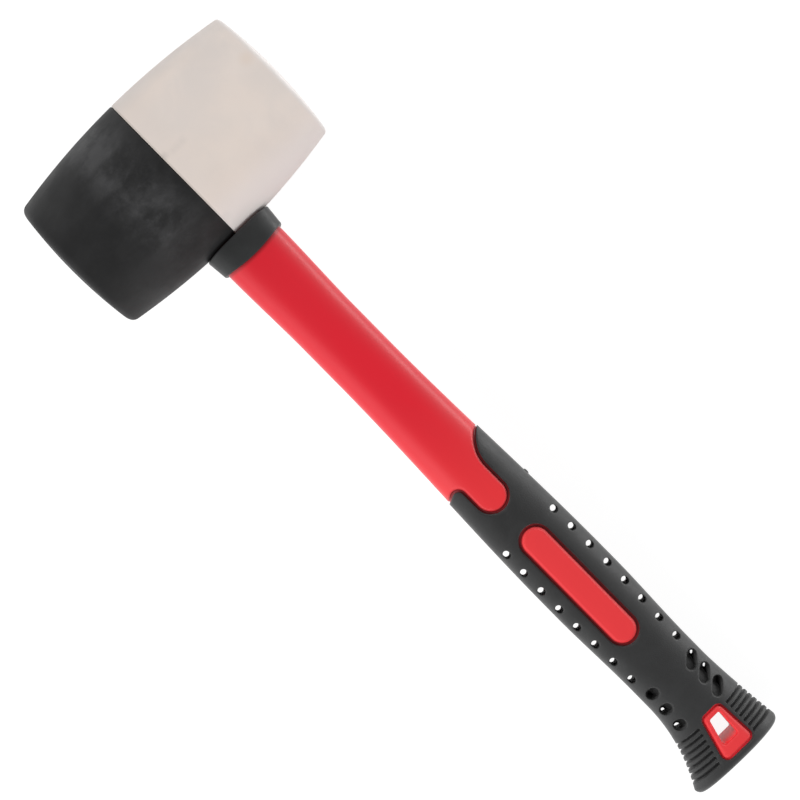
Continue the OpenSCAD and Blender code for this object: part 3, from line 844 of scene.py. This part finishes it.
def soft_grip_finish(finishes):
    """Matte soft grip with a fine grain and a little dust, paler towards the butt, and painted shade in its
    holes, pockets and grooves.
    """
    material, f = new_finish("soft_grip")
    base = finishes.soft_grip
    spot = f.place()
    dust = f.ramp(f.noise(spot, 110, 5, 0.6, 0.4), 0.4, 0.75)
    specks = f.ramp(f.noise(spot, 900, 3, 0.6), 0.58, 0.8)
    x = f.axes(spot, "X")[0]
    # The grip grows paler towards the butt
    paler_towards_butt = f.ramp(x, HEAD_X + 215 * MM, HEAD_X + 262 * MM, 0.0, 0.6)
    shade = f.mix(dust * 0.6 + specks * 0.4 + paler_towards_butt, tint(base, 0.9), tint(base, 1.8))
    wall = f.kept("wall")
    # Painted shade on the walls and floors of the holes, pockets and grooves
    shade = f.mix(wall, shade, tint(base, 0.15))
    rough = f.ramp(f.noise(spot, 80, 4), 0.3, 0.7, 0.52, 0.64) + wall * 0.36
    grain = f.grain(spot, 2300) * 0.6 + f.noise(spot, 3200, 2, 0.6) * 0.4
    constants = {"Specular IOR Level": 0.8, "Sheen Weight": 0.3, "Sheen Roughness": 0.4}
    f.skin(shade, rough, f.bump(grain, 0.3, GRAIN), constants)
    return material


def adhesive_finish(finishes):
    """Cured amber adhesive with small bubbles."""
    material, f = new_finish("cured_adhesive")
    base = finishes.adhesive
    spot = f.place()
    bubbles = f.ramp(f.grain(spot, 700), 0.05, 0.3)
    shade = f.mix(bubbles, tint(base, 0.7), tint(base, 1.1))
    f.skin(shade, f.ramp(bubbles, 0.0, 1.0, 0.25, 0.45), f.bump(bubbles, 0.3, BUBBLES))
    return material


def fibreglass_finish(finishes):
    """Pultruded fibreglass with its strands along the rod."""
    material, f = new_finish("fibreglass")
    base = finishes.fibreglass
    spot = f.place()
    strands = f.noise(f.moved(spot, scale=(0.02, 1, 1)), 2400, 3, 0.6)
    shade = f.mix(f.ramp(strands, 0.3, 0.7), tint(base, 0.75), tint(base, 1.15))
    f.skin(shade, f.ramp(strands, 0.3, 0.7, 0.35, 0.55), f.bump(strands, 0.25, GRAIN))
    return material


# Operators

class MALLET_OT_head(Operator):
    """Model the two rubber halves of the head"""

    bl_idname = "mallet.head"
    bl_label = "Head Halves"

    def outline(self, s, edge_r, joint_r):
        """Half of the barrel's outline as radius and distance from the joint."""
        head_r, half_len = s.waist_d / 2, s.head_len / 2
        face_r0 = (s.waist_d - s.face_taper) / 2
        rim_y = half_len - s.face_rise
        drop = s.face_taper / 2
        barrel_r = (rim_y ** 2 + drop ** 2) / (2 * drop)
        face_r = (face_r0 ** 2 + s.face_rise ** 2) / (2 * s.face_rise)
        barrel_c = Vector((head_r - barrel_r, 0))
        face_c = Vector((0, half_len - face_r))
        apart = face_c - barrel_c
        to_edge, from_edge = barrel_r - edge_r, face_r - edge_r
        way = apart.normalized()
        foot = (to_edge ** 2 - from_edge ** 2 + apart.length_squared) / (2 * apart.length)
        off = math.sqrt(to_edge ** 2 - foot ** 2)
        edge_c = barrel_c + way * foot + Vector((-way.y, way.x)) * off
        first = math.degrees(math.atan2(edge_c.y - barrel_c.y, edge_c.x - barrel_c.x))
        last = math.degrees(math.atan2(edge_c.y - face_c.y, edge_c.x - face_c.x))
        start = math.degrees(math.asin(joint_r / barrel_r))
        points = [(0.0, 0.0), (head_r * 0.5, 0.0)]
        points += arc(head_r - joint_r, joint_r, joint_r, -90, 0, 8)
        # Degrees between the joint's rounding and the barrel's first point
        clear_of_joint = 0.3
        points += arc(barrel_c.x, barrel_c.y, barrel_r, start + clear_of_joint, first, 40)
        points += arc(edge_c.x, edge_c.y, edge_r, first, last, 14)[1:]
        points += arc(face_c.x, face_c.y, face_r, last, 90, 20)[1:]
        return points

    def half(self, name, points, side):
        """Draws the outline by extruding one vertex and spins it."""
        bpy.ops.object.select_all(action="DESELECT")
        bpy.ops.mesh.primitive_plane_add(size=1 * MM, location=at(0, 0, 0))
        bpy.ops.object.transform_apply(location=True, rotation=False, scale=False)
        half = named(name)
        bpy.ops.object.mode_set(mode="EDIT")
        bpy.ops.mesh.select_all(action="SELECT")
        bpy.ops.mesh.merge(type="CENTER")
        for (r0, y0), (r1, y1) in zip(points, points[1:]):
            step = (0, side * (y1 - y0), r1 - r0)
            bpy.ops.mesh.extrude_region_move(TRANSFORM_OT_translate={"value": step})
        bpy.ops.mesh.select_all(action="SELECT")
        bpy.ops.mesh.spin(steps=180, angle=2 * math.pi, center=at(0, 0, 0), axis=(0, 1, 0))
        bpy.ops.mesh.select_all(action="SELECT")
        bpy.ops.mesh.remove_doubles(threshold=2e-6)
        bpy.ops.mesh.normals_make_consistent(inside=False)
        bpy.ops.object.mode_set(mode="OBJECT")
        return half

    def eye(self, s):
        """A flat oval bar from the eye's top out through the barrel's side."""
        straight = s.eye_w - s.eye_t
        section = oval(0, 0, straight, s.eye_t / 2, 0, 4, 20)
        ends = [-s.eye_top, s.waist_d]
        return rolled_body("eye_cutter", [[at(x, y, z) for y, z in section] for x in ends])

    def execute(self, context):
        s = Sizes(context.scene.mallet_head)
        finishes = context.scene.mallet_finishes
        black = self.half("black_half", self.outline(s, s.black_edge_r, s.black_seam_r), -1)
        carve(black, self.eye(s))
        finish_piece(black, "black_head_half", black_rubber_finish(finishes), 40)
        white = self.half("white_half", self.outline(s, s.white_edge_r, s.white_seam_r), 1)
        carve(white, self.eye(s))
        finish_piece(white, "white_head_half", white_rubber_finish(finishes), 40)
        return {"FINISHED"}


class MALLET_OT_collar(Operator):
    """Model the collar between the head and the shaft"""

    bl_idname = "mallet.collar"
    bl_label = "Collar"

    def ring(self, form, x, inset, share):
        s = form.s
        t = (x - form.seat) / s.collar_h
        wide = s.collar_top_w + (s.collar_low_w - s.collar_top_w) * t - 2 * inset
        thick = s.collar_top_t + (s.collar_low_t - s.collar_top_t) * t - 2 * inset
        points = []
        for px, y, z in form.section(x, wide / 2, wide / 2, thick / 2, s.collar_power, 128):
            bow = share * s.collar_bow * (1 - (2 * y / wide) ** 2)
            rise = (1 - share) * s.collar_rise * (2 * z / thick) ** 2
            points.append(at(px + bow - rise, y, z))
        return points

    def execute(self, context):
        form = handle_form()
        r = form.s.collar_r
        end = form.collar_end
        turns = [math.radians(a) for a in spread(0, 90, 6)]
        rings = [self.ring(form, form.seat + r * (1 - math.cos(a)), r * (1 - math.sin(a)), 0) for a in turns]
        rings += [self.ring(form, end - r * (1 - math.sin(a)), r * (1 - math.cos(a)), 1) for a in turns]
        collar = rolled_body("collar", rings)
        low, high = form.seat - form.s.collar_h, end + form.s.collar_h
        carve(collar, form.body("shaft_cutter", spread(low, high, 12), form.s.collar_fit))
        material = collar_finish(context.scene.mallet_finishes)
        finish_piece(collar, "neck_collar", material, 35)
        return {"FINISHED"}


class MALLET_OT_jacket(Operator):
    """Model the red jacket: shaft, tongue, window pads and hang-hole frame"""

    bl_idname = "mallet.jacket"
    bl_label = "Red Jacket"

    def tang(self, form):
        s = form.s
        section = oval(0, 0, s.tang_w - s.tang_t, s.tang_t / 2, 0, 4, 16)
        ends = [form.seat - s.tang_len, form.seat + s.collar_h]
        return rolled_body("tang", [[at(x, y, z) for y, z in section] for x in ends])

    def bore(self, form):
        s, g = form.s, form.g
        section = arc(0, 0, s.bore_d / 2, 0, 360, 48)[:-1]
        ends = [form.seat - s.tang_len - REACH, g.hang_from - s.bore_d]
        return rolled_body("bore_cutter", [[at(x, y, z) for y, z in section] for x in ends])

    def ledge(self, form, xs, outline, out, operation):
        """The floor of a groove: the handle's form, less deep in, on an outline."""
        g = form.g
        ledge = form.body("ledge", xs, -g.groove_side, g.groove_t - g.groove_side)
        carve(ledge, plug("ledge_cutter", outline, [(out, 0)], form.skin(0)), operation)
        return ledge

    def raised(self, form, xs, outline, rim_r):
        """A red face that stands in a window of the grip, with a ledge round its foot."""
        g, proud = form.g, form.s.grip_proud
        face = form.body("face", xs, proud)
        carve(face, plug("face_keeper", outline, rim(rim_r, -1), form.skin(proud)), "INTERSECT")
        carve(face, self.ledge(form, xs, outline, g.groove_w - THIN, "INTERSECT"), "UNION")
        return face

    def execute(self, context):
        form = handle_form()
        s, g = form.s, form.g
        shaft = spread(form.seat, g.tongue_end + g.tongue_r, 120)
        beyond = g.tongue_end + 2 * g.tongue_r
        edge = lambda out: form.grip_edge(out, beyond)
        jacket = form.body("jacket", shaft, 0)
        levels = [(out - g.groove_w, up) for out, up in rim(g.edge_rim_r, -1)]
        carve(jacket, plug("edge_cutter", edge, levels, form.skin(0)))
        carve(jacket, self.ledge(form, shaft[1:], edge, -THIN, "DIFFERENCE"), "UNION")
        carve(jacket, form.core("core", 0, form.grip_from, form.core_end), "UNION")
        pad = spread(g.pad_from - g.pad_r, g.pad_to + g.pad_r, 70)
        carve(jacket, self.raised(form, pad, form.pad_outline, g.pad_rim_r), "UNION")
        bezel = spread(g.frame_from - g.frame_r, s.handle_end, 40)
        carve(jacket, self.raised(form, bezel, form.frame_outline, g.frame_rim_r), "UNION")
        hang_rim = rim(g.hang_rim_r, 1)
        carve(jacket, plug("hang_cutter", form.hang_outline, hang_rim, form.skin(s.grip_proud)))
        carve(jacket, self.tang(form), "UNION")
        carve(jacket, self.bore(form))
        mark_recess_shade(jacket, form, grow=0, floors=0.8)
        material = red_finish(context.scene.mallet_finishes, form)
        finish_piece(jacket, "handle_jacket", material, 35)
        return {"FINISHED"}


class MALLET_OT_grip(Operator):
    """Model the soft grip with its windows, holes, pockets, ribs and flared butt"""

    bl_idname = "mallet.grip"
    bl_label = "Soft Grip"

    def rib_cut(self, form, x, y):
        """Depth of the grooves between the butt's ribs."""
        g = form.g
        place = (x - g.rib_from) / g.rib_pitch
        number = max(0, min(g.rib_count - 1, round(place)))
        away = abs(place - number) * g.rib_pitch / (g.rib_gap / 2)
        if away >= 1:
            return 0.0
        if y > 0:
            inner = g.rib_white_in
        else:
            inner = g.rib_black_in + g.rib_black_grow * number / (g.rib_count - 1)
        across = ease((abs(y) - inner) / g.rib_fade)
        # Powers that keep a groove's floor flat and its walls steep
        flat, steep = 3, 0.7
        return g.rib_depth * across * (1 - away ** flat) ** steep

    def ribbed_ring(self, form, x, grow, around):
        """A ring of the outside, drawn in where a groove runs."""
        plain = form.ring(x, grow, around)
        points = []
        for px, y, z in plain:
            cut = self.rib_cut(form, px, y)
            if cut:
                wide = (form.white_half(x) if y > 0 else form.black_half(x)) + grow
                thick = form.half_t(x) + grow
                y, z = y * (1 - cut / wide), z * (1 - cut / thick)
            points.append((px, y, z))
        return points

    def rings(self, form):
        """The grip's outside, from its upper edge round the lip to the middle of the end face."""
        s, g = form.s, form.g
        around = 160
        ribs_from = g.rib_from - g.rib_gap
        rows = [form.ring(x, s.grip_proud, around) for x in spread(form.grip_from, ribs_from, 150)]
        steps = round((s.lip_at - ribs_from) / RIB_STEP)
        ribbed = spread(ribs_from, s.lip_at, steps)[1:]
        rows += [self.ribbed_ring(form, x, s.grip_proud, around) for x in ribbed]
        for a in spread(0, math.pi / 2, 8)[1:]:
            ring = form.ring(s.lip_at, s.grip_proud - form.butt_round * (1 - math.cos(a)), around)
            rows.append([(x + form.butt_round * math.sin(a), y, z) for x, y, z in ring])
        last = rows[-1]
        for share in (0.8, 0.5, 0.2, 0.04):
            # The end face's bow and crown both ease off towards its middle
            rise = s.end_crown * (1 - share ** 2)
            bow = [form.bowed(s.lip_at, y * share) - form.bowed(s.lip_at, y) for x, y, z in last]
            rows.append([(x + rise + b, y * share, z * share) for (x, y, z), b in zip(last, bow)])
        return [[at(*p) for p in row] for row in rows]

    def holes(self, form, skin):
        s, g = form.s, form.g
        plugs = []
        for i in range(g.hole_count):
            x = g.hole_from + i * g.hole_pitch
            for side in (-1, 1):
                y = side * (form.half_w(x) + s.grip_proud - g.hole_edge)
                outline = lambda out: oval(x, y, g.hole_len - g.hole_w, g.hole_w / 2 + out)
                plugs.append(plug("hole_cutter", outline, rim(g.hole_rim_r, 1), skin))
        return together("hole_cutters", plugs)

    def pockets(self, form, skin):
        """Slanted ovals that narrow to a vent beside the jacket and stop on a floor over it."""
        g = form.g
        plugs = []
        levels = [*rim(g.pocket_rim_r, 1), (-g.pocket_draft, -g.pocket_steep)]
        for i in range(g.pocket_count):
            x, y = g.pocket_from + i * g.pocket_pitch, g.pocket_y
            straight, radius, slant = g.pocket_len - g.pocket_w, g.pocket_w / 2, -g.pocket_slant
            outline = lambda out: oval(x, y, straight, radius + out, slant, 6)
            waist = oval(x - g.vent_x, y + g.vent_y, g.vent_r, g.vent_r, slant, 6)
            web = g.pocket_web if i == g.pocket_count - 1 else 0.0
            plugs.append(plug("pocket_cutter", outline, levels, skin, waist, web))
        for i in range(g.pocket_count):
            x = g.short_pocket_from + i * g.short_pocket_pitch
            y = -g.short_pocket_y - i * g.short_pocket_step
            radius, slant = g.short_pocket_w / 2, g.short_pocket_slant
            straight = g.short_pocket_len - g.short_pocket_w
            outline = lambda out: oval(x, y, straight, radius + out, slant)
            # Each next short vent is wider
            vent_r = (0.5 + i) * g.vent_r
            waist = oval(x + i * g.short_vent_x, y - g.short_vent_y, 0, vent_r, slant)
            web = 0.0 if i else g.pocket_web
            plugs.append(plug("pocket_cutter", outline, levels, skin, waist, web))
        cutters = together("pocket_cutters", plugs)
        first = g.short_pocket_from - 2 * g.short_pocket_len
        last = g.pocket_from + g.pocket_count * g.pocket_pitch
        thinner = g.pocket_wall - g.pocket_floor
        carve(cutters, form.core("pocket_floors", g.pocket_wall, first, last, thinner))
        return cutters

    def nib(self, form):
        """The small nib that the mould left on the edge."""
        g = form.g
        place = at(g.nib_at, form.half_w(g.nib_at) + form.s.grip_proud, 0)
        bpy.ops.object.select_all(action="DESELECT")
        bpy.ops.mesh.primitive_uv_sphere_add(segments=24, ring_count=12, radius=1, location=place)
        nib = named("nib")
        nib.scale = (g.nib_len / 2, g.nib_h, g.nib_len / 2)
        bpy.ops.object.transform_apply(location=True, rotation=False, scale=True)
        return nib

    def execute(self, context):
        form = handle_form()
        s, g = form.s, form.g
        skin = form.skin(s.grip_proud)
        grip = rolled_body("grip", self.rings(form))
        carve(grip, self.nib(form), "UNION")
        outward = rim(g.rim_r, 1)
        before = form.grip_from - REACH
        carve(grip, plug("edge_cutter", lambda out: form.grip_edge(out, before), outward, skin))
        wider = [(out + g.groove_w, up) for out, up in outward]
        carve(grip, plug("window_cutter", form.pad_outline, wider, skin))
        carve(grip, plug("frame_cutter", form.frame_outline, wider, skin))
        carve(grip, self.holes(form, skin))
        carve(grip, self.pockets(form, skin))
        carve(grip, form.core("core_cutter", THIN, form.grip_from - g.horn_r, form.core_end))
        mark_recess_shade(grip, form, grow=s.grip_proud, floors=0.3)
        material = soft_grip_finish(context.scene.mallet_finishes)
        finish_piece(grip, "grip_sleeve", material, 40)
        return {"FINISHED"}


class MALLET_OT_inside(Operator):
    """Give the bond and the rod inside the handle their finishes"""

    bl_idname = "mallet.inside"
    bl_label = "Bond and Rod"

    def execute(self, context):
        finishes = context.scene.mallet_finishes
        for node, material in (
            ("eye_adhesive", adhesive_finish(finishes)),
            ("fibreglass_core", fibreglass_finish(finishes)),
        ):
            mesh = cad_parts[node].data
            mesh.materials.clear()
            mesh.materials.append(material)
        return {"FINISHED"}


class MALLET_OT_stage(Operator):
    """Set up the floor, the light and the camera"""

    bl_idname = "mallet.stage"
    bl_label = "Studio"

    def seen(self, f):
        """1 for rays that show the background, straight, mirrored or through glass."""
        kinds = ("Is Camera Ray", "Is Glossy Ray", "Is Transmission Ray")
        camera, glossy, through = (f.node("ShaderNodeLightPath", out=kind) for kind in kinds)
        return camera.math("MAXIMUM", camera.math("MAXIMUM", camera, glossy), through)

    def floor(self, settings):
        """A wide floor, leaning so that the head and the butt both rest on it."""
        low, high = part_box("grip_sleeve")
        drop = math.atan2(low.z, high.x - HEAD_X)
        bpy.ops.object.select_all(action="DESELECT")
        place = (HEAD_X, 0, -settings.floor_gap)
        bpy.ops.mesh.primitive_plane_add(size=settings.floor_size, location=place)
        floor = named("floor")
        bpy.ops.object.mode_set(mode="EDIT")
        bpy.ops.mesh.select_all(action="SELECT")
        bpy.ops.mesh.subdivide(number_cuts=3)
        bpy.ops.object.mode_set(mode="OBJECT")
        floor.rotation_euler = (0, -drop, 0)
        bpy.ops.object.transform_apply(location=True, rotation=True, scale=True)
        material, f = new_finish("pale_floor")
        base = settings.floor_colour
        pale = f.mix(f.noise(f.place(), 12, 2), tint(base, 0.99), tint(base, 1.01))
        matte = f.node("ShaderNodeBsdfDiffuse", sockets={"Color": pale})
        glow = f.node("ShaderNodeEmission", sockets={"Color": (1, 1, 1, 1), "Strength": settings.floor_glow})
        grey = settings.floor_shadow
        shadow = f.node("ShaderNodeBsdfDiffuse", sockets={"Color": (grey, grey, grey, 1)})
        white = f.node("ShaderNodeAddShader", sockets={0: glow, 1: shadow})
        f.surface(f.node("ShaderNodeMixShader", sockets={0: self.seen(f), 1: matte, 2: white}))
        floor.data.materials.append(material)

    def sky(self, context, settings):
        """White all round, dimmer straight above, where the camera stands, and beyond the butt."""
        world = bpy.data.worlds.new("studio")
        world.use_nodes = True
        f = Finish(world.node_tree)
        x, z = f.axes(f.node("ShaderNodeTexCoord", out=0), "XZ")
        bright = f.ramp(z, 0.3, 1.0, 1.0, settings.sky_top) * f.ramp(x, 0.25, 0.9, 1.0, settings.sky_beyond)
        sky = f.node("ShaderNodeBackground", sockets={"Color": (1, 1, 1, 1), "Strength": bright})
        f.node("ShaderNodeOutputWorld", sockets={"Surface": sky})
        context.scene.world = world

    def lamp(self, name, place, target, size, power):
        bpy.ops.object.light_add(type="AREA", location=place)
        lamp = named(name)
        lamp.data.shape = "RECTANGLE"
        lamp.data.size, lamp.data.size_y = size
        lamp.data.energy = power
        lamp.rotation_euler = (Vector(target) - Vector(place)).to_track_quat("-Z", "Y").to_euler()
        return lamp

    def camera(self, context, settings):
        height = settings.camera_height
        place = at(settings.camera_x, settings.camera_y, height)
        bpy.ops.object.camera_add(location=place, rotation=(0, 0, settings.camera_turn))
        camera = named("camera")
        camera.data.sensor_width = SENSOR
        camera.data.lens = SENSOR * height / settings.view_width
        camera.data.clip_start, camera.data.clip_end = 0.01, 50
        context.scene.camera = camera

    def execute(self, context):
        settings = context.scene.mallet_stage
        context.scene.view_settings.view_transform = "Standard"
        self.floor(settings)
        self.sky(context, settings)
        middle = at(settings.light_x, 0, 0)
        key_place = middle + Vector((0.1, -0.9, 0.8))
        side_place = middle + Vector((0, 1.0, 0.1))
        key_size, side_size = (1.2, 0.8), (1.6, 0.4)
        key = self.lamp("key_light", key_place, middle, key_size, settings.key_power)
        key.visible_glossy = False
        self.lamp("side_light", side_place, middle, side_size, settings.side_power)
        self.camera(context, settings)
        return {"FINISHED"}


class MALLET_PT_panel(Panel):
    """Lists the mallet's pieces and settings"""

    bl_idname = "MALLET_PT_panel"
    bl_label = "Two-colour mallet"
    bl_space_type = "VIEW_3D"
    bl_region_type = "UI"
    bl_category = "Mallet"

    def draw(self, context):
        layout = self.layout
        for operator in OPERATORS:
            layout.operator(operator.bl_idname)
        for owner, group in SETTINGS.items():
            settings = getattr(context.scene, owner)
            box = layout.box()
            box.label(text=group.__doc__)
            for key in group.__annotations__:
                box.prop(settings, key)


OPERATORS = (
    MALLET_OT_head,
    MALLET_OT_collar,
    MALLET_OT_jacket,
    MALLET_OT_grip,
    MALLET_OT_inside,
    MALLET_OT_stage,
)
SETTINGS = {
    "mallet_head": HeadSizes,
    "mallet_handle": HandleSizes,
    "mallet_grip": GripSizes,
    "mallet_finishes": Finishes,
    "mallet_stage": StageSettings,
}


def register():
    for cls in (*SETTINGS.values(), *OPERATORS, MALLET_PT_panel):
        bpy.utils.register_class(cls)
    for owner, group in SETTINGS.items():
        setattr(bpy.types.Scene, owner, PointerProperty(type=group))


def unregister():
    for owner in SETTINGS:
        delattr(bpy.types.Scene, owner)
    for cls in (MALLET_PT_panel, *reversed(OPERATORS), *reversed(SETTINGS.values())):
        bpy.utils.unregister_class(cls)


def main():
    register()
    bpy.ops.mallet.head()
    bpy.ops.mallet.collar()
    bpy.ops.mallet.jacket()
    bpy.ops.mallet.grip()
    bpy.ops.mallet.inside()
    bpy.ops.mallet.stage()


if __name__ == "__main__":
    main()
